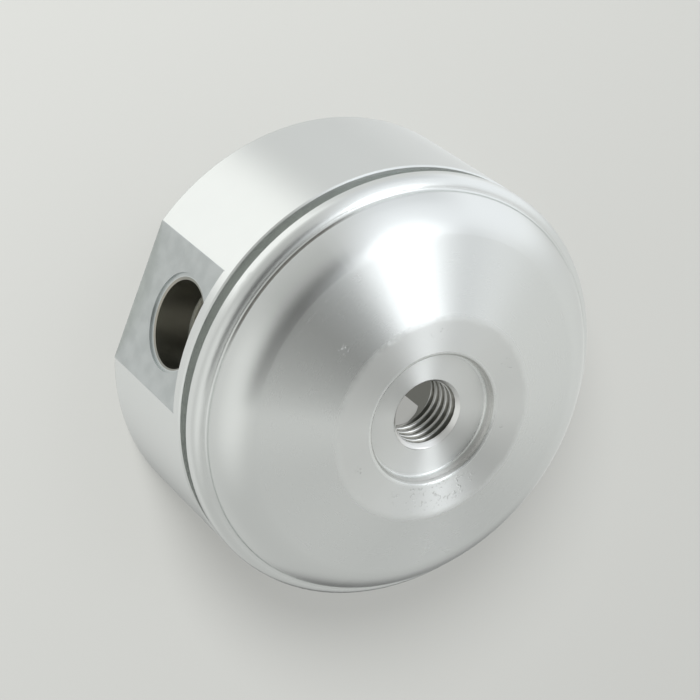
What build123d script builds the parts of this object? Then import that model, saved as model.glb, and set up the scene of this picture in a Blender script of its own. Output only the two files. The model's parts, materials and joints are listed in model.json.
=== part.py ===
"""CNC-turned aluminium piston with a tapped crown.

Units are millimetres. The piston stands on its open skirt end on Z = 0, with
its turning axis on +Z and the crown on top. The two milled flats and the pin
bore lie across the Y axis.
"""
import math
import os

from build123d import *

# ---- overall form
outer_diameter = 72.0        # land and skirt share one turned diameter
overall_height = 39.5        # skirt end to crown pad

# ---- crown
crown_rise = 10.0            # from the crown's foot up to its pad
crown_roll = 9.0             # wide roll where the cone steepens towards its foot
foot_roll = 2.0              # tighter roll over the last stretch, down to vertical
roll_change = 65.0           # steepness, in degrees, where one roll meets the other
pad_diameter = 33.6          # flat pad in the middle of the cone

# ---- tapped hole and its recess
thread_diameter = 12.0       # M12 x 1.5, bored to the thread's outer diameter
thread_length = 8.55         # from the recess floor through to the hollow
recess_diameter = 21.2
recess_depth = 1.95
recess_round = 0.95          # rounded lip

# ---- land, ring groove and the shoulder under it
land_height = 3.2            # groove up to the crown's foot
land_round = 2.0             # the land's top edge, rolled over to the crown's foot
groove_width = 2.3
groove_depth = 3.0
shoulder_height = 2.0        # full ring left between the groove and the flats
edge_break = 0.25            # light chamfer on both edges of the groove

# ---- milled flats
flat_depth = 2.0             # cut below the turned diameter

# ---- pin bore
pin_diameter = 14.0
pin_depth = 24.8             # bore axis, below the crown's pad
spotface_diameter = 15.8
spotface_depth = 0.3
spotface_drop = 0.6          # the spotface is struck a little below the bore axis
clip_inset = 6.3             # flat to the outer side of the clip groove
clip_width = 1.0
clip_depth = 0.6

# ---- hollow under the crown
skirt_wall = 6.0
boss_reach = 7.0             # how far a pin boss stands in from the bored wall
boss_width = 19.0
boss_fillet = 2.5            # where a boss runs into the bored wall

outer_radius = outer_diameter / 2
base_radius = outer_radius - land_round
pad_radius = pad_diameter / 2
thread_radius = thread_diameter / 2
recess_radius = recess_diameter / 2
groove_radius = outer_radius - groove_depth
bore_radius = outer_radius - skirt_wall
boss_face = bore_radius - boss_reach
flat_distance = outer_radius - flat_depth

crown_foot = overall_height - crown_rise
groove_top = crown_foot - land_height
groove_bottom = groove_top - groove_width
flat_height = groove_bottom - shoulder_height
pin_height = overall_height - pin_depth
recess_floor = overall_height - recess_depth
ceiling_height = recess_floor - thread_length


# centres of the two rolls, as (radius, height); they meet with one tangent
foot_centre = (base_radius - foot_roll, crown_foot)
roll_centre = (
    foot_centre[0] - (crown_roll - foot_roll) * math.sin(math.radians(roll_change)),
    foot_centre[1] - (crown_roll - foot_roll) * math.cos(math.radians(roll_change)),
)


def cone_tangent():
    """Angle of the crown cone, in degrees, that leaves the pad's edge and is
    tangent to the wide roll."""
    run = roll_centre[0] - pad_radius
    rise = overall_height - roll_centre[1]
    reach = math.hypot(run, rise)
    return math.degrees(math.atan2(rise, run) - math.asin(crown_roll / reach))


slope = cone_tangent()


def on_roll(centre, radius, angle):
    """Point on one of the crown's rolls, angle in degrees from straight up."""
    turn = math.radians(angle)
    return (centre[0] + radius * math.sin(turn), centre[1] + radius * math.cos(turn))


foot_points = [on_roll(foot_centre, foot_roll, angle)
               for angle in (90, (90 + roll_change) / 2, roll_change)]
roll_points = [on_roll(roll_centre, crown_roll, angle)
               for angle in (roll_change, (roll_change + slope) / 2, slope)]


with BuildPart() as piston_body:
    # turned section: outside, crown, recess and tapped hole in one profile
    with BuildSketch(Plane.XZ):
        with BuildLine():
            Polyline(
                (thread_radius, 0),
                (outer_radius, 0),
                (outer_radius, groove_bottom - edge_break),
                (outer_radius - edge_break, groove_bottom),
                (groove_radius, groove_bottom),
                (groove_radius, groove_top),
                (outer_radius - edge_break, groove_top),
                (outer_radius, groove_top + edge_break),
                (outer_radius, crown_foot - land_round),
            )
            RadiusArc(
                (outer_radius, crown_foot - land_round),
                (base_radius, crown_foot),
                -land_round,
            )
            ThreePointArc(*foot_points)
            ThreePointArc(*roll_points)
            Polyline(
                roll_points[-1],
                (pad_radius, overall_height),
                (recess_radius + recess_round, overall_height),
            )
            RadiusArc(
                (recess_radius + recess_round, overall_height),
                (recess_radius, overall_height - recess_round),
                -recess_round,
            )
            Polyline(
                (recess_radius, overall_height - recess_round),
                (recess_radius, recess_floor),
                (thread_radius, recess_floor),
                (thread_radius, 0),
            )
        make_face()
    revolve(axis=Axis.Z)

    # hollow bored from the skirt end, leaving the two pin bosses
    with BuildSketch():
        Circle(bore_radius)
        for side in (-1, 1):
            with Locations((0, side * (boss_face + outer_radius) / 2)):
                Rectangle(boss_width, outer_radius - boss_face, mode=Mode.SUBTRACT)
        wall_corners = [v for v in vertices()
                        if math.hypot(v.X, v.Y) > bore_radius - 0.01]
        fillet(wall_corners, boss_fillet)
    extrude(amount=ceiling_height, mode=Mode.SUBTRACT)

    # milled flats, stopping under the ring groove
    for side in (-1, 1):
        with BuildSketch():
            with Locations((0, side * (flat_distance + outer_radius / 2))):
                Rectangle(outer_diameter, outer_radius)
        extrude(amount=flat_height, mode=Mode.SUBTRACT)

    # pin bore through both bosses, with clip grooves and spotfaces
    with Locations(Location((0, 0, pin_height), (90, 0, 0))):
        Cylinder(pin_diameter / 2, outer_diameter, mode=Mode.SUBTRACT)
    for side in (-1, 1):
        clip_centre = side * (flat_distance - clip_inset - clip_width / 2)
        with Locations(Location((0, clip_centre, pin_height), (90, 0, 0))):
            Cylinder(pin_diameter / 2 + clip_depth, clip_width, mode=Mode.SUBTRACT)
        spot_centre = side * flat_distance
        with Locations(Location((0, spot_centre, pin_height - spotface_drop), (90, 0, 0))):
            Cylinder(spotface_diameter / 2, 2 * spotface_depth, mode=Mode.SUBTRACT)

piston_body.part.label = "piston_body"

os.makedirs("parts", exist_ok=True)
export_step(piston_body.part, "parts/piston_body.step")
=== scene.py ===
# %% [markdown]
# # A turned piston, dressed for the camera
# The real part is one bar of aluminium: turned, bored from below, milled flat on
# two sides and tapped in its crown. The imported model already holds that form, so
# this lesson adds what a lathe leaves behind: the thread, the fine circular tool
# marks, the milled flats and a few dents. It also paints shade and a few highlights
# into the metal's colour, and builds a studio for the metal to mirror.

# %% The imported part
import json
import math

import bpy
import numpy as np
from mathutils import Matrix, Vector


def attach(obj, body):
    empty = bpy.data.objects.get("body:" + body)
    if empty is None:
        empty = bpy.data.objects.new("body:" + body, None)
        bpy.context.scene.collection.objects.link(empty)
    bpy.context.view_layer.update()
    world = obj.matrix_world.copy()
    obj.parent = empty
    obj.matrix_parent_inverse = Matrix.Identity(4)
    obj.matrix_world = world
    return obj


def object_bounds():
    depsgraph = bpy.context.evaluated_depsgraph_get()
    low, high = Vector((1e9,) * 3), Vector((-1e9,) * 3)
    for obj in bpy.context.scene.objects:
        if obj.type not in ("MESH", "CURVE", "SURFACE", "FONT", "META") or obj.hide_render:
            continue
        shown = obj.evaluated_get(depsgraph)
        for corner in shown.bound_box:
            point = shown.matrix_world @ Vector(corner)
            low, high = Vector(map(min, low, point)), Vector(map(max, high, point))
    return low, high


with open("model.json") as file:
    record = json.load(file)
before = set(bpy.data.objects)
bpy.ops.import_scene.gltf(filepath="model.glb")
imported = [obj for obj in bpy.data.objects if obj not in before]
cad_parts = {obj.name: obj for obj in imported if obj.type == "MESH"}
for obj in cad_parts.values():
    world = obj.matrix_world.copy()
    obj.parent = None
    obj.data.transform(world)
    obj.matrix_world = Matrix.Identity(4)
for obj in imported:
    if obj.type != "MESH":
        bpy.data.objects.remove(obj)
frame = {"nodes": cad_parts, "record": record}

cad_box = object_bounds()
mm = 0.001
mounts = {mount["name"]: mount for mount in frame["record"]["mounts"]}
body = frame["nodes"]["piston_body"]
outer_radius = mounts["cylinder_fit"]["dims"]["r_mm"] * mm
pad_height = cad_box[1][2]
print("outer radius", outer_radius, "height", pad_height)

# %% [markdown]
# ## Camera
# Bare metal shows its surroundings, so the view comes first: every highlight is
# judged from here. The camera could be aimed with a Track To constraint, but
# plain vector algebra keeps the roll exact. The part stands on its skirt, and the
# picture is rolled so that its crown leans towards the lower right.

# %% Camera
aim = Vector((-5.68, -12.68, 30.0)) * mm
camera_distance = 367.73 * mm
camera_azimuth = math.radians(22.775)
camera_elevation = math.radians(51.704)
camera_roll = math.radians(128.784)
camera_lens = 123.2


def look_at(target, distance, azimuth, elevation, roll):
    """Camera matrix. The view direction comes from two angles; the camera's right
    and up are the level ones turned about that direction by the roll."""
    view = Vector((math.sin(azimuth) * math.cos(elevation),
                   math.cos(azimuth) * math.cos(elevation), -math.sin(elevation)))
    level_right = view.cross(Vector((0, 0, 1))).normalized()
    level_up = level_right.cross(view)
    right = level_right * math.cos(roll) + level_up * math.sin(roll)
    up = right.cross(view)
    turn = Matrix((right, up, -view)).transposed().to_4x4()
    return Matrix.Translation(target - view * distance) @ turn


camera = bpy.data.objects.new("camera", bpy.data.cameras.new("camera"))
bpy.context.scene.collection.objects.link(camera)
camera.matrix_world = look_at(aim, camera_distance, camera_azimuth,
                              camera_elevation, camera_roll)
camera.data.lens = camera_lens
camera.data.clip_start = 0.01
bpy.context.scene.camera = camera
print("camera stands at", tuple(round(c, 4) for c in camera.location))

# %% [markdown]
# ## Shader maths as Python
# Node trees are graphs, but a formula is easier to read as an expression. One
# small class wraps a socket: its operators add Math nodes, and its one method
# adds any other node. The reflected operators make `1 - mask` work too.


# %% The socket class
class Wire:
    """One output socket of a node tree. Numbers may stand on either side of it."""

    def __init__(self, tree, socket=None):
        self.tree = tree
        self.socket = socket

    def node(self, kind, settings=None, values=None, output=0):
        """Adds a node of that type. Settings go first, a ramp's stops among them,
        then the values or links of its sockets; returns one of its outputs."""
        made = self.tree.nodes.new(kind)
        for name, setting in (settings or {}).items():
            if name == "stops":
                stops = made.color_ramp.elements
                while len(stops) < len(setting):
                    stops.new(1.0)
                for stop, (place, colour) in zip(stops, setting):
                    stop.position = place
                    stop.color = colour
            else:
                setattr(made, name, setting)
        for name, value in (values or {}).items():
            if isinstance(value, Wire):
                self.tree.links.new(value.socket, made.inputs[name])
            else:
                made.inputs[name].default_value = value
        return Wire(self.tree, made.outputs[output] if made.outputs else None)

    def maths(self, operation, *values):
        return self.node("ShaderNodeMath", {"operation": operation},
                         dict(enumerate(values)))

    def __add__(self, other):
        return self.maths("ADD", self, other)

    def __sub__(self, other):
        return self.maths("SUBTRACT", self, other)

    def __rsub__(self, other):
        return self.maths("SUBTRACT", other, self)

    def __mul__(self, other):
        return self.maths("MULTIPLY", self, other)

    def __truediv__(self, other):
        return self.maths("DIVIDE", self, other)

    def __pow__(self, other):
        return self.maths("POWER", self, other)

    __radd__ = __add__
    __rmul__ = __mul__

    def step(self, low, high):
        """0 below low, 1 above high, and a smooth rise between them."""
        return self.node("ShaderNodeMapRange", {"interpolation_type": "SMOOTHSTEP"},
                         {"Value": self, "From Min": low, "From Max": high})

    def between(self, low, high, soft):
        """1 from low to high, falling smoothly to 0 over soft on both sides."""
        rise = self.step(low - soft, low)
        return rise * (1 - self.step(high, high + soft))


def axes(vector):
    """The three parts of a vector wire."""
    split = vector.node("ShaderNodeSeparateXYZ", {}, {"Vector": vector})
    return [Wire(vector.tree, split.socket.node.outputs[i]) for i in range(3)]


def blend(factor, first, second, kind="RGBA"):
    """Mix node on colours: first where factor is 0, second where it is 1."""
    slots = {"RGBA": ("A_Color", "B_Color", "Result_Color"),
             "VECTOR": ("A_Vector", "B_Vector", "Result_Vector")}[kind]
    made = factor.node("ShaderNodeMix", {"data_type": kind}, {0: factor})
    node = made.socket.node
    sides = {socket.identifier: socket for socket in node.inputs}
    for identifier, value in zip(slots, (first, second)):
        if isinstance(value, Wire):
            factor.tree.links.new(value.socket, sides[identifier])
        else:
            sides[identifier].default_value = value
    result = {socket.identifier: socket for socket in node.outputs}[slots[2]]
    return Wire(factor.tree, result)


def new_tree(holder):
    """Empties a material's or world's node tree and returns its first wire."""
    holder.use_nodes = True
    holder.node_tree.nodes.clear()
    return Wire(holder.node_tree)


print("operators ready")

# %% [markdown]
# ## Studio
# Polished metal has hardly any colour of its own: it shows the room. A light tent
# is the usual way to light it, with white panels and darker gaps, and the world
# shader can be that tent. In a studio a panel is moved until its highlight falls in
# the right place. The mirror law does the same the other way round: each
# panel is written down by the metal that shows its middle, and the script works out
# where in the tent it has to hang. The camera sees plain pale paper instead.

# %% Where a panel hangs
def mirrored(facing, tilt):
    """Azimuth and elevation, in degrees, of what the camera sees in metal that faces
    that way: twice the normal times its share of the view, less the view."""
    turn, rise = math.radians(facing), math.radians(tilt)
    normal = Vector((math.cos(turn) * math.cos(rise), math.sin(turn) * math.cos(rise),
                     math.sin(rise)))
    toward = (camera.location - aim).normalized()
    ray = normal * (2 * normal.dot(toward)) - toward
    return math.degrees(math.atan2(ray.y, ray.x)), math.degrees(math.asin(ray.z))


print("the skirt's front shows", [round(angle) for angle in mirrored(-113, 0)])

# %% The light tent
paper = (0.694, 0.701, 0.672, 1.0)
# name: the metal's facing and tilt, the panel's half width, half height and
# softness (degrees), brightness; each is painted over the ones before it
panels = {
    "low_right": (-90, 0, 80, 30, 50, 0.77),
    "low_left": (-160, 0, 65, 40, 30, 0.71),
    "low_front": (-120, 0, 32, 25, 25, 1.20),
    "dark_side": (15, 38, 22, 25, 20, 0.08),
    "back_wall": (125, 55, 25, 50, 30, 0.72),
    "far_low": (100, 45, 10, 15, 10, 0.80),
    "left_box": (-158, 45, 30, 30, 40, 0.95),
    "left_wall": (172, 40, 20, 42, 20, 1.00),
    "front_box": (-83, 45, 35, 25, 40, 0.85),
    "back_high": (67, 90, 30, 10, 15, 0.75),
    "gap_overhead": (-110, 65, 60, 24, 8, 0.03),
    "key_box": (-152, 66, 20, 10, 25, 3.4),
}
base_brightness = 0.53
# the tent's left side is a little cooler: azimuth, half width, elevation, half
# height and softness in degrees
cool_side = (160, 45, 35, 70, 40)
warm_tint = (1.0, 1.0, 0.985, 1.0)
cool_tint = (0.985, 1.0, 1.035, 1.0)

world = bpy.data.worlds.new("light_tent")
bpy.context.scene.world = world
sky = new_tree(world)
direction = sky.node("ShaderNodeTexCoord", output=0)
east, north, up = axes(direction)
azimuth = north.maths("ARCTAN2", north, east)
elevation = up.maths("ARCSINE", up)


def panel(middle, half_width, height, half_height, soft):
    """1 inside a patch of sky, 0 outside: the angle from its middle, wrapped round
    the circle, and the height above its middle each fall off over the softness."""
    turn, rise, edge = (math.radians(a) for a in (middle, height, soft))
    off = (azimuth - turn).maths("WRAP", azimuth - turn, math.pi, -math.pi)
    sideways = off.maths("ABSOLUTE", off)
    upward = (elevation - rise).maths("ABSOLUTE", elevation - rise)
    across, along = math.radians(half_width), math.radians(half_height)
    return ((1 - sideways.step(across - edge / 2, across + edge / 2))
            * (1 - upward.step(along - edge / 2, along + edge / 2)))


tent = base_brightness
for name, (facing, tilt, half_width, half_height, soft, brightness) in panels.items():
    middle, height = mirrored(facing, tilt)
    print(name, "hangs at", round(middle), round(height))
    mask = panel(middle, half_width, height, half_height, soft)
    tent = tent * (1 - mask) + mask * brightness
rays = sky.node("ShaderNodeLightPath")
seen = Wire(sky.tree, rays.socket.node.outputs["Is Camera Ray"])
cool = panel(*cool_side)
tint = blend(cool, warm_tint, cool_tint)
tent_light = sky.node("ShaderNodeBackground", {}, {"Color": tint, "Strength": tent})
plain = sky.node("ShaderNodeBackground", {}, {"Color": paper, "Strength": 1.0})
choice = sky.node("ShaderNodeMixShader", {}, {0: seen, 1: tent_light, 2: plain})
sky.node("ShaderNodeOutputWorld", {}, {"Surface": choice})
print(len(panels), "panels in the tent")

# %% [markdown]
# ## Key lamp
# The tent alone gives almost no shadow. One large soft lamp from the left throws
# the part's shadow on to the paper beside the crown. It is kept out of mirror
# reflections, because the tent's own panels already stand for it there.

# %% Key lamp
key_azimuth = math.radians(-130)
key_elevation = math.radians(42)
key_distance = 0.6
key_size = 0.20
key_power = 6.0

key = bpy.data.objects.new("key_lamp", bpy.data.lights.new("key_lamp", "AREA"))
bpy.context.scene.collection.objects.link(key)
key.data.shape = "DISK"
key.data.size = key_size
key.data.energy = key_power
toward_key = Vector((math.cos(key_azimuth) * math.cos(key_elevation),
                     math.sin(key_azimuth) * math.cos(key_elevation),
                     math.sin(key_elevation)))
key.location = toward_key * key_distance
key.rotation_euler = toward_key.to_track_quat("Z", "Y").to_euler()
key.visible_glossy = False
print("key lamp at", tuple(round(c, 3) for c in key.location))

# %% [markdown]
# ## Paper floor
# The part stands on plain pale paper. A purely diffuse sheet would go dark all
# round the skirt, so part of its brightness is emission and the rest takes the
# shadow. Mirror rays that start outside the skirt pass through the sheet to the
# tent, which shows its own pale lower half to the metal.

# %% Paper floor
floor_half = 3.0
shade_share = 0.30
glow_share = 0.44
hidden_glow = 0.55


def floor_sheet(name, half):
    """A square of four corners on z = 0, facing up."""
    corners = np.array([[-1, -1], [1, -1], [1, 1], [-1, 1]], float) * half
    mesh = bpy.data.meshes.new(name)
    mesh.from_pydata(np.column_stack([corners, np.zeros(4)]).tolist(), [],
                     [(0, 1, 2, 3)])
    return bpy.data.objects.new(name, mesh)


def paper_material():
    """Emission and diffuse in fixed shares; under the part the emission is stronger,
    and beyond the skirt the sheet is clear to mirror rays."""
    material = bpy.data.materials.new("paper")
    tree = new_tree(material)
    x, y, _ = axes(tree.node("ShaderNodeTexCoord", output="Object"))
    radius = (x * x + y * y) ** 0.5
    beyond = radius.step(outer_radius, outer_radius + 0.1 * mm)
    under = 1 - radius.step(0.8 * outer_radius, 0.85 * outer_radius)
    path = tree.node("ShaderNodeLightPath").socket.node.outputs
    mirrored = Wire(tree.tree, path["Is Glossy Ray"]) * beyond
    open_glow = tree.node("ShaderNodeEmission", {}, {"Color": paper, "Strength": glow_share})
    shut_glow = tree.node("ShaderNodeEmission", {}, {"Color": paper, "Strength": hidden_glow})
    glow = tree.node("ShaderNodeMixShader", {}, {0: under, 1: open_glow, 2: shut_glow})
    shaded = [channel * shade_share for channel in paper[:3]] + [1.0]
    matt = tree.node("ShaderNodeBsdfDiffuse", {}, {"Color": shaded})
    sheet = tree.node("ShaderNodeAddShader", {}, {0: glow, 1: matt})
    clear = tree.node("ShaderNodeBsdfTransparent")
    shown = tree.node("ShaderNodeMixShader", {}, {0: mirrored, 1: sheet, 2: clear})
    tree.node("ShaderNodeOutputMaterial", {}, {"Surface": shown})
    return material


floor = floor_sheet("paper_floor", floor_half)
bpy.context.scene.collection.objects.link(floor)
floor.data.materials.append(paper_material())
print("floor half width", floor_half)

# %% [markdown]
# ## Turned aluminium
# A lathe tool leaves a very fine spiral groove, so light spreads across the
# grooves and hardly along them. The Principled shader's anisotropy does that: its
# own tangent runs round the Z axis, and a quarter turn of rotation puts the wide
# spread across the marks. The flats were milled, and the cross bore was only
# drilled and reamed, so masks worked out from the object's coordinates mix
# in their duller finishes.

# %% Finishes of the metal
metal_colour = (0.850, 0.878, 0.860, 1.0)
faced_colour = (0.905, 0.930, 0.910, 1.0)
# Painted shade: the recess wall is coloured darker than the turned metal.
recess_wall_shade_colour = (0.76, 0.755, 0.74, 1.0)
turned_roughness = 0.23
cone_roughness = 0.27
faced_roughness = 0.40
milled_roughness = 0.42
pad_radius = 16.8 * mm
recess_radius = 10.6 * mm
recess_floor = mounts["recess_floor"]["pos_m"][2]
groove_height = mounts["ring_groove"]["pos_m"][2]
bore_radius = mounts["pin_bore"]["dims"]["r_mm"] * mm
bore_height = mounts["pin_bore"]["pos_m"][2]
flat_face = 34.0 * mm
flat_top = 22.1 * mm
land_top = 29.5 * mm


def metal(tree, colour, roughness, anisotropy, normal=None):
    """Principled metal. A plain number or colour stays on the shader's socket."""
    values = {"Base Color": colour, "Metallic": 1.0, "Roughness": roughness,
              "Anisotropic": anisotropy, "Anisotropic Rotation": 0.25}
    if normal:
        values["Normal"] = normal
    return tree.node("ShaderNodeBsdfPrincipled", {}, values)


def noise(tree, place, scale, detail=2.0):
    """Noise from 0 to 1 whose patches are about one scale-th of a metre wide."""
    return tree.node("ShaderNodeTexNoise", {}, {"Vector": place, "Scale": scale,
                                                "Detail": detail})


print("turned", turned_roughness, "cone", cone_roughness, "faced", faced_roughness)

# %% [markdown]
# ### Marks on the crown
# The pad's outer edge is worn soft, and small dents lie around the recess, where a
# screw or a spanner has slipped. Both are heights for a Bump node. The worn edge
# is a shallow notch whose slopes undo the kink of the solid. A pit is the middle of
# a Voronoi cell and a hair scratch follows one level line of a noise; both are kept
# only near named places, and a finer noise breaks them up.

# %% Heights of wear and dents
edge_wear = 0.7 * mm
edge_slope = 0.182
dent_depth = 0.045 * mm
pit_cells = 1500.0
pit_breaks = 900.0
hair_lines = 420.0
hair_breaks = 1300.0
hair_strength = 0.8
# name: distance from the axis, azimuth, reach in mm and degrees
dented = {
    "foot_side": (13.4, 22.0, 3.0, 40.0),
    "back_side": (14.6, -160.0, 1.4, 7.0),
    "far_side": (13.2, 91.0, 0.9, 5.0),
    "right_side": (14.6, 139.0, 1.6, 6.0),
    "low_side": (14.4, -44.0, 0.8, 5.0),
    "cone_side": (21.0, -112.0, 1.0, 3.0),
}


def worn_edge(radius, ragged):
    """Height of the notch: minus slope times (reach - distance from the edge)
    squared, over twice the reach; the reach is ragged."""
    reach = edge_wear * (0.5 + ragged)
    off = (radius - pad_radius).maths("ABSOLUTE", radius - pad_radius)
    inside = (reach - off).maths("MAXIMUM", reach - off, 0.0)
    return 0 - inside * inside * edge_slope / (2 * edge_wear)


def dent_mask(tree, place, radius, azimuth):
    """1 in a pit or a hair scratch near one of the named places. A pit is the middle
    of a Voronoi cell; a hair follows one level line of a noise; a finer noise keeps
    only some of each."""
    near = None
    for away, turn, reach, swing in dented.values():
        off = (azimuth - math.radians(turn)).maths("WRAP", azimuth - math.radians(turn),
                                                  math.pi, -math.pi)
        aside = off / math.radians(swing)
        out = (radius - away * mm) / (reach * mm)
        patch = 1 - ((aside * aside + out * out) ** 0.5).step(0.5, 1.0)
        near = patch if near is None else near.maths("MAXIMUM", near, patch)
    cells = tree.node("ShaderNodeTexVoronoi", {"feature": "F1"},
                      {"Vector": place, "Scale": pit_cells})
    pit = 1 - cells.step(0.15, 0.40)
    pit = pit * noise(tree, place, pit_breaks, 3.0).step(0.46, 0.58)
    hair = noise(tree, place, hair_lines, 2.0).between(0.485, 0.515, 0.015)
    hair = hair * noise(tree, place, hair_breaks, 1.0).step(0.46, 0.60)
    return pit.maths("MAXIMUM", pit, hair * hair_strength) * near


print(len(dented), "dented places")

# %% [markdown]
# ### Where each finish lies
# The whole part is one piece, so its finishes are told apart by place. Each mask is
# a product of smooth steps on height, on distance from the turning axis or on
# distance from the pin bore's axis. Painting them by hand would also work, but a
# formula stays sharp at every distance and needs no picture.

# %% Masks of the turned crown
cloud_ragged = 2 * mm
pad_edge_soft = 0.8 * mm
cone_low = 34.8 * mm
cone_high = 35.4 * mm
# Painted shade in the crease of the crown's foot, over one stretch of its side: the middle
# azimuth, the half width at full strength and where it ends.
foot_shade_azimuth = math.radians(-118)
foot_shade_full = math.radians(14)
foot_shade_end = math.radians(28)
groove_half = 1.2 * mm
groove_inside = 32.5 * mm
groove_outside = 35.7 * mm


def faced_mask(radius, z, cloud):
    """1 on the pad and the recess floor, out to a ragged edge, and 0 round the lip."""
    ragged = radius + (cloud - 0.5) * cloud_ragged
    faced = 1 - ragged.step(pad_radius - pad_edge_soft, pad_radius + pad_edge_soft)
    faced = faced * (1 - radius.between(recess_radius - 0.3 * mm, recess_radius + 0.8 * mm,
                                        0.15 * mm))
    return faced, z.step(recess_floor - 0.3 * mm, recess_floor - 0.1 * mm)


def lip_mask(radius, z):
    """1 on the rounded lip of the recess, where a painted dark reflection stands for the dark
    gap it mirrors, as a thin line.
    """
    lip = radius.between(recess_radius + 0.15 * mm, recess_radius + 0.35 * mm, 0.12 * mm)
    return lip * z.step(recess_floor + 1.2 * mm, recess_floor + 1.4 * mm)


def recess_wall_mask(radius, z):
    """1 on the upright wall of the recess, above its round corner."""
    wall = radius.between(recess_radius - 0.05 * mm, recess_radius + 0.1 * mm, 0.05 * mm)
    return wall * z.step(recess_floor + 0.35 * mm, recess_floor + 0.45 * mm)


def foot_shade_mask(radius, z, azimuth):
    """1 on the painted shade: a dark band in the crease of the crown's foot, over a stretch
    of one side.
    """
    aside = (azimuth - foot_shade_azimuth).maths("ABSOLUTE", azimuth - foot_shade_azimuth)
    foot_shade = z.between(land_top + 0.32 * mm, land_top + 0.70 * mm, 0.12 * mm)
    foot_shade = foot_shade * (1 - aside.step(foot_shade_full, foot_shade_end))
    return foot_shade * radius.step(33.0 * mm, 33.2 * mm)


def groove_mask(radius, z):
    """1 on the floor and the sides of the ring groove."""
    low, high = groove_height - groove_half, groove_height + groove_half
    grooved = radius.between(groove_inside, groove_outside, 0.05 * mm)
    return grooved * z.between(low, high, 0.03 * mm)


# The dark band in the crown's foot is painted shade.
print("dirt at", round(math.degrees(foot_shade_azimuth)), "degrees")


# %% Masks of the flats, the bore and the hollow
spotface_radius = 7.9 * mm
spot_reach = 8.5 * mm
spot_deepest = 0.33 * mm
mouth_drop = 0.3 * mm
clip_inner = 26.75 * mm
clip_outer = 27.65 * mm
clip_radius = 7.3 * mm
hollow_radius = 30.3 * mm
hollow_top = 29.2 * mm


def milled_mask(beside, from_bore, z):
    """1 on the two flats and on the spotfaces a little below them."""
    milled = beside.between(flat_face - 0.03 * mm, flat_face + 0.03 * mm, 0.01 * mm)
    spot = beside.between(flat_face - spot_deepest, flat_face, 0.02 * mm)
    spot = spot * (1 - from_bore.step(spot_reach, spot_reach + 0.1 * mm))
    milled = milled.maths("MAXIMUM", milled, spot)
    return milled * (1 - z.step(flat_top, flat_top + 0.1 * mm))


def bore_masks(x, z, beside, from_bore):
    """The bore's wall without its snap ring grooves, and a pale ring round its mouth that is
    a painted highlight. The dark bore reaches a little lower and wider than the bore, as
    painted shade round the mouth."""
    mouth = (x * x + (z - (bore_height - mouth_drop)) ** 2) ** 0.5
    wall = 1 - mouth.step(bore_radius + 0.32 * mm, bore_radius + 0.38 * mm)
    clip = beside.between(clip_inner, clip_outer, 0.05 * mm)
    clip = clip * from_bore.step(clip_radius, clip_radius + 0.1 * mm)
    rim_highlight = mouth.between(bore_radius + 0.40 * mm, bore_radius + 0.46 * mm, 0.05 * mm)
    return wall * (1 - clip), rim_highlight


def hollow_mask(radius, z, from_bore):
    """1 under the crown, except close round the pin bore."""
    hollow = 1 - radius.step(hollow_radius, hollow_radius + 0.3 * mm)
    hollow = hollow * (1 - z.step(hollow_top, hollow_top + 0.2 * mm))
    return hollow * from_bore.step(spotface_radius - 0.1 * mm, spotface_radius)


print("spotface radius", spotface_radius)

# %% [markdown]
# ### One skin for every cut
# Roughness and colour are blended inside the turned finish, its painted shade
# among them. The milled finish, the bore and the hollow are shaders of their own,
# because anisotropy has to stay a plain number on its socket, and Mix Shaders choose
# between them by the masks. The dark colours of the bore and the hollow are painted
# shade, and a pale ring round the pin bore on the flats is a painted highlight.

# %% Colours of the finishes, of the painted shade and of the painted highlight
# The first colour is worn metal in the dents, and painted shade in the ring groove and on the
# recess lip; the second is painted shade in the crease of the crown's foot.
wear_and_shade_colour = (0.56, 0.57, 0.545, 1.0)
foot_shade_colour = (0.32, 0.32, 0.30, 1.0)
stain_dark = (0.565, 0.60, 0.595, 1.0)
stain_light = (0.64, 0.675, 0.67, 1.0)
# A painted highlight: the pale ring round the pin bore's mouth.
rim_highlight_colour = (0.69, 0.73, 0.72, 1.0)
# Painted shade in the pin bore, darker towards its top.
bore_shade_low_colour = (0.46, 0.44, 0.38, 1.0)
bore_shade_high_colour = (0.34, 0.345, 0.31, 1.0)
# Painted shade: the hollow under the crown is coloured dark.
hollow_shade_colour = (0.36, 0.36, 0.34, 1.0)
drilled_roughness = 0.35
ring_scale = 9000.0
cloud_scale = 420.0
stain_scale = 330.0
roughness_swing = 0.02
groove_shade = 0.26
dent_shade = 0.45
lip_shade = 0.9
# The groove's and the lip's colour is painted shade, as is the foot's.
print("groove and dirt colours", wear_and_shade_colour, foot_shade_colour)


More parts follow.
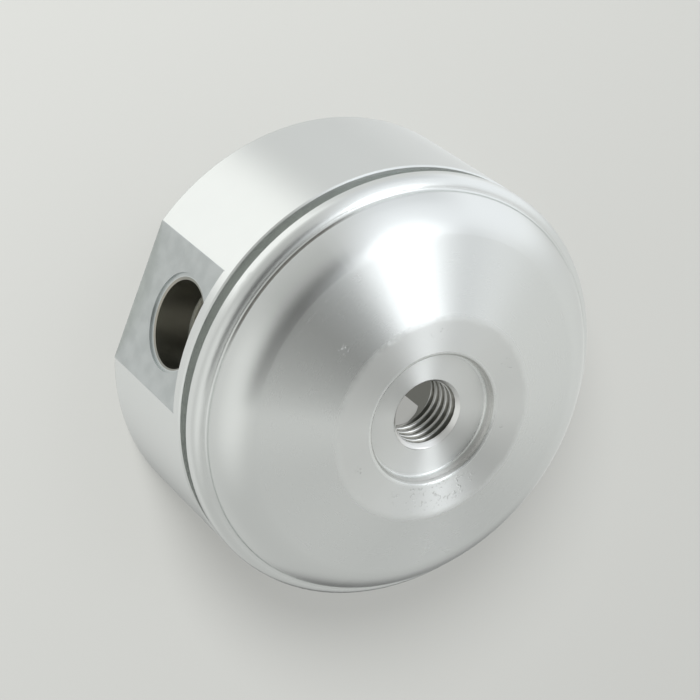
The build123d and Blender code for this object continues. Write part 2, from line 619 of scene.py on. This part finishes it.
# %% Turned aluminium
def turned_finish(tree, place, x, y, z):
    """Fine rings and a faint cloud in the roughness, a worn pad edge and dents in the
    height, darker worn metal in the dents, and painted shade in the groove, on the
    recess wall, in the crown's foot and, as a dark reflection, on the lip."""
    radius = (x * x + y * y) ** 0.5
    azimuth = y.maths("ARCTAN2", y, x)
    cloud = noise(tree, place, cloud_scale, 4.0)
    along = tree.node("ShaderNodeCombineXYZ", {}, {0: radius - z, 1: 0.0, 2: 0.0})
    rings = noise(tree, along, ring_scale)
    faced, top = faced_mask(radius, z, cloud)
    coned = z.step(cone_low, cone_high)
    roughness = (turned_roughness + coned * (cone_roughness - turned_roughness)
                 + faced * top * (faced_roughness - cone_roughness)
                 + (rings - 0.5) * roughness_swing + (cloud - 0.5) * roughness_swing)

    dents = dent_mask(tree, place, radius, azimuth)
    height = worn_edge(radius, cloud) * coned - dents * dent_depth
    bump = tree.node("ShaderNodeBump", {}, {"Height": height, "Distance": 1.0,
                                            "Strength": 1.0})

    grooved = groove_mask(radius, z)
    # Painted shade in the groove and on the lip, worn metal in the dents.
    shade = grooved.maths("MAXIMUM", grooved * groove_shade, dents * dent_shade)
    shade = shade.maths("MAXIMUM", shade, lip_mask(radius, z) * lip_shade)
    colour = blend(faced * top, metal_colour, faced_colour)
    # Painted shade on the recess wall.
    colour = blend(recess_wall_mask(radius, z), colour, recess_wall_shade_colour)
    colour = blend(shade, colour, wear_and_shade_colour)
    # Painted shade in the crown's foot.
    colour = blend(foot_shade_mask(radius, z, azimuth), colour, foot_shade_colour)
    return metal(tree, colour, roughness, 1.0, bump)


def turned_aluminium():
    """Turned skin everywhere, a duller one on the milled flats, and dark ones in the bores
    and the hollow that are painted shade.
    """
    material = bpy.data.materials.new("turned_aluminium")
    tree = new_tree(material)
    place = tree.node("ShaderNodeTexCoord", output="Object")
    x, y, z = axes(place)
    radius = (x * x + y * y) ** 0.5
    beside = y.maths("ABSOLUTE", y)
    from_bore = (x * x + (z - bore_height) ** 2) ** 0.5
    milled = milled_mask(beside, from_bore, z)
    # The dark bore reaches past its mouth as painted shade, and the pale ring outside it is a
    # painted highlight.
    in_bore, rim_highlight = bore_masks(x, z, beside, from_bore)

    stain = noise(tree, place, stain_scale, 3.0).step(0.30, 0.72)
    milled_colour = blend(stain, stain_dark, stain_light)
    # Painted highlight round the pin bore's mouth.
    milled_colour = blend(rim_highlight * milled, milled_colour, rim_highlight_colour)
    # Painted shade inside the pin bore, darker towards its top.
    higher_in_bore = z.step(bore_height - 7.0 * mm, bore_height - 2.0 * mm)
    bore_shade_colour = blend(higher_in_bore, bore_shade_low_colour, bore_shade_high_colour)

    turned = turned_finish(tree, place, x, y, z)
    cutter = metal(tree, milled_colour, milled_roughness, 0.0)
    # The hollow's dark colour is painted shade.
    hollow_shaded = metal(tree, hollow_shade_colour, milled_roughness, 0.0)
    # The pin bore's dark colours are painted shade.
    drilled_and_shaded = metal(tree, bore_shade_colour, drilled_roughness, 0.0)
    hollow = hollow_mask(radius, z, from_bore)
    skin = tree.node("ShaderNodeMixShader", {}, {0: hollow, 1: turned, 2: hollow_shaded})
    skin = tree.node("ShaderNodeMixShader", {}, {0: milled, 1: skin, 2: cutter})
    skin = tree.node("ShaderNodeMixShader", {}, {0: in_bore, 1: skin, 2: drilled_and_shaded})
    tree.node("ShaderNodeOutputMaterial", {}, {"Surface": skin})
    return material


aluminium = turned_aluminium()
body.data.materials.clear()
body.data.materials.append(aluminium)
print("material on", body.name)

# %% [markdown]
# ## Thread
# The tapped hole is a plain bore in the solid. An M12 x 1.5 thread could be cut
# with a Screw modifier and a boolean, but a formula is shorter and exact: at each
# height and angle the radius follows a flat-topped wave that climbs one pitch in
# each turn. The sleeve fills the bore from its wall inwards and stays inside it.

# %% Thread sleeve
thread_root = mounts["crown_thread"]["dims"]["r_mm"] * mm
thread_pitch = 1.5 * mm
thread_depth = 0.5413 * thread_pitch
crest_share = 0.25
root_share = 0.125
thread_turns = mounts["crown_thread"]["dims"]["length_mm"] * mm / thread_pitch
thread_middle = mounts["crown_thread"]["pos_m"][2]
thread_bottom = thread_middle - thread_turns * thread_pitch / 2
thread_top = thread_middle + thread_turns * thread_pitch / 2
wall_gap = 0.02 * mm
# Painted shade on the thread's flanks, in patches between a darker and a lighter colour.
flank_shade_scale = 700.0
flank_shade_dark = (0.20, 0.20, 0.175, 1.0)
flank_shade_light = (0.34, 0.34, 0.31, 1.0)
crest_colour = (0.84, 0.85, 0.83, 1.0)
thread_roughness = 0.28
thread_anisotropy = 0.6


def thread_radius(angle, height):
    """Radius of the tapped wall. The phase is the height in pitches less the angle
    in turns; the wave is flat at crest and root and straight between them; both
    mouths are opened by a 45 degree chamfer down to the crests."""
    phase = np.mod(height / thread_pitch - angle / (2 * np.pi), 1.0)
    off_crest = np.abs(phase - 0.5) * 2
    slope = np.clip((off_crest - crest_share) / (1 - crest_share - root_share), 0, 1)
    root = thread_root - wall_gap
    wall = root - thread_depth * (1 - slope)
    from_mouth = np.minimum(thread_top - height, height - thread_bottom)
    return np.clip(np.maximum(wall, root - from_mouth), None, root)


def sleeve_points(around=192, up=230):
    """Grid of (angle, height) for the inner wall, closed by one plain outer ring
    at each end; both rings lie on the bore's own wall."""
    angle = np.linspace(0, 2 * np.pi, around, endpoint=False)
    height = np.linspace(thread_bottom, thread_top, up)
    turn, rise = np.meshgrid(angle, height, indexing="ij")
    radius = thread_radius(turn, rise)
    outer = np.full((around, 2), thread_root - wall_gap / 4)
    radius = np.concatenate([radius, outer], axis=1)
    rise = np.concatenate([rise, rise[:, [-1, 0]]], axis=1)
    turn = np.concatenate([turn, turn[:, :2]], axis=1)
    return np.stack([radius * np.cos(turn), radius * np.sin(turn), rise], axis=-1)


def closed_grid(name, points):
    """Mesh from a grid that wraps both ways: each cell is a quad between a point,
    the next along both parameters, and so on round."""
    rows, columns = points.shape[:2]
    index = np.arange(rows * columns).reshape(rows, columns)
    right, above = np.roll(index, -1, 0), np.roll(index, -1, 1)
    corner = np.roll(right, -1, 1)
    quads = np.stack([index, above, corner, right], axis=-1).reshape(-1, 4)
    mesh = bpy.data.meshes.new(name)
    mesh.from_pydata(points.reshape(-1, 3).tolist(), [], quads.tolist())
    mesh.polygons.foreach_set("use_smooth", np.ones(len(quads), bool))
    mesh.update()
    piece = bpy.data.objects.new(name, mesh)
    bpy.context.scene.collection.objects.link(piece)
    return piece


def tapped_aluminium():
    """Bright crests, and flanks painted dark as shade down to the roots, in patches: a
    mask runs from 0 at the crests to 1 a little way down the flanks."""
    material = bpy.data.materials.new("tapped_aluminium")
    tree = new_tree(material)
    place = tree.node("ShaderNodeTexCoord", output="Object")
    x, y, z = axes(place)
    radius = (x * x + y * y) ** 0.5
    crest = thread_root - thread_depth
    down = radius.step(crest + 0.05 * mm, crest + 0.22 * mm)
    down = down * (1 - z.step(thread_top - 0.75 * mm, thread_top - 0.6 * mm))
    # Painted shade on the flanks.
    flank_shade = noise(tree, place, flank_shade_scale, 3.0).step(0.25, 0.7)
    flank = blend(flank_shade, flank_shade_dark, flank_shade_light)
    colour = blend(down, crest_colour, flank)
    skin = metal(tree, colour, thread_roughness, thread_anisotropy)
    tree.node("ShaderNodeOutputMaterial", {}, {"Surface": skin})
    return material


thread = closed_grid("crown_thread", sleeve_points())
thread.data.materials.append(tapped_aluminium())
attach(thread, "root")
print(len(thread.data.polygons), "faces in", round(thread_turns, 2), "turns of thread")

# %% [markdown]
# ## Inner corners
# A turning tool has a slightly round tip, so no inner corner that it leaves is
# sharp. A narrow concave round runs along the edge of the recess's floor and along
# the crown's foot, and each shows as one thin bright line. They are too fine for
# the solid, and as rings of their own they are one short formula: a quarter circle
# turned about the axis, backed by three points inside the metal.

# %% Rings in the inner corners
corner_round = 0.4 * mm
foot_round = 0.45 * mm
foot_radius = 34.0 * mm
corner_depth = 0.02 * mm


def corner_points(wall, floor_height, size, side, around=256, steps=9):
    """Grid of (angle, place on the section). The section is a quarter circle about
    a centre one round off the wall and up from the floor, then three back points
    inside the metal, all carried round the axis. Side is 1 where the metal lies
    outside the wall and -1 where it lies inside; there the section runs backwards,
    so that its face still looks out of the metal."""
    sweep = np.linspace(0, np.pi / 2, steps)
    off_wall = size * (1 - np.sin(sweep))
    above = size * (1 - np.cos(sweep))
    off_wall = np.concatenate([off_wall, [-corner_depth, -corner_depth, size]])
    above = np.concatenate([above, [size, -corner_depth, -corner_depth]])
    section_radius = (wall - side * off_wall)[::side]
    section_height = (floor_height + above)[::side]
    turn = np.linspace(0, 2 * np.pi, around, endpoint=False)[:, None]
    return np.stack(np.broadcast_arrays(section_radius * np.cos(turn),
                                        section_radius * np.sin(turn),
                                        section_height), axis=-1)


corners = {
    "recess_corner": corner_points(recess_radius, recess_floor, corner_round, 1),
    "crown_foot_corner": corner_points(foot_radius, land_top, foot_round, -1, 384),
}
for name, points in corners.items():
    corner = closed_grid(name, points)
    corner.data.materials.append(aluminium)
    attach(corner, "root")
    print(name, len(corner.data.polygons), "faces")

# %% [markdown]
# ## Finish
# The view transform stays Standard so that colours come out as written.

# %% Finish
bpy.context.scene.view_settings.view_transform = "Standard"
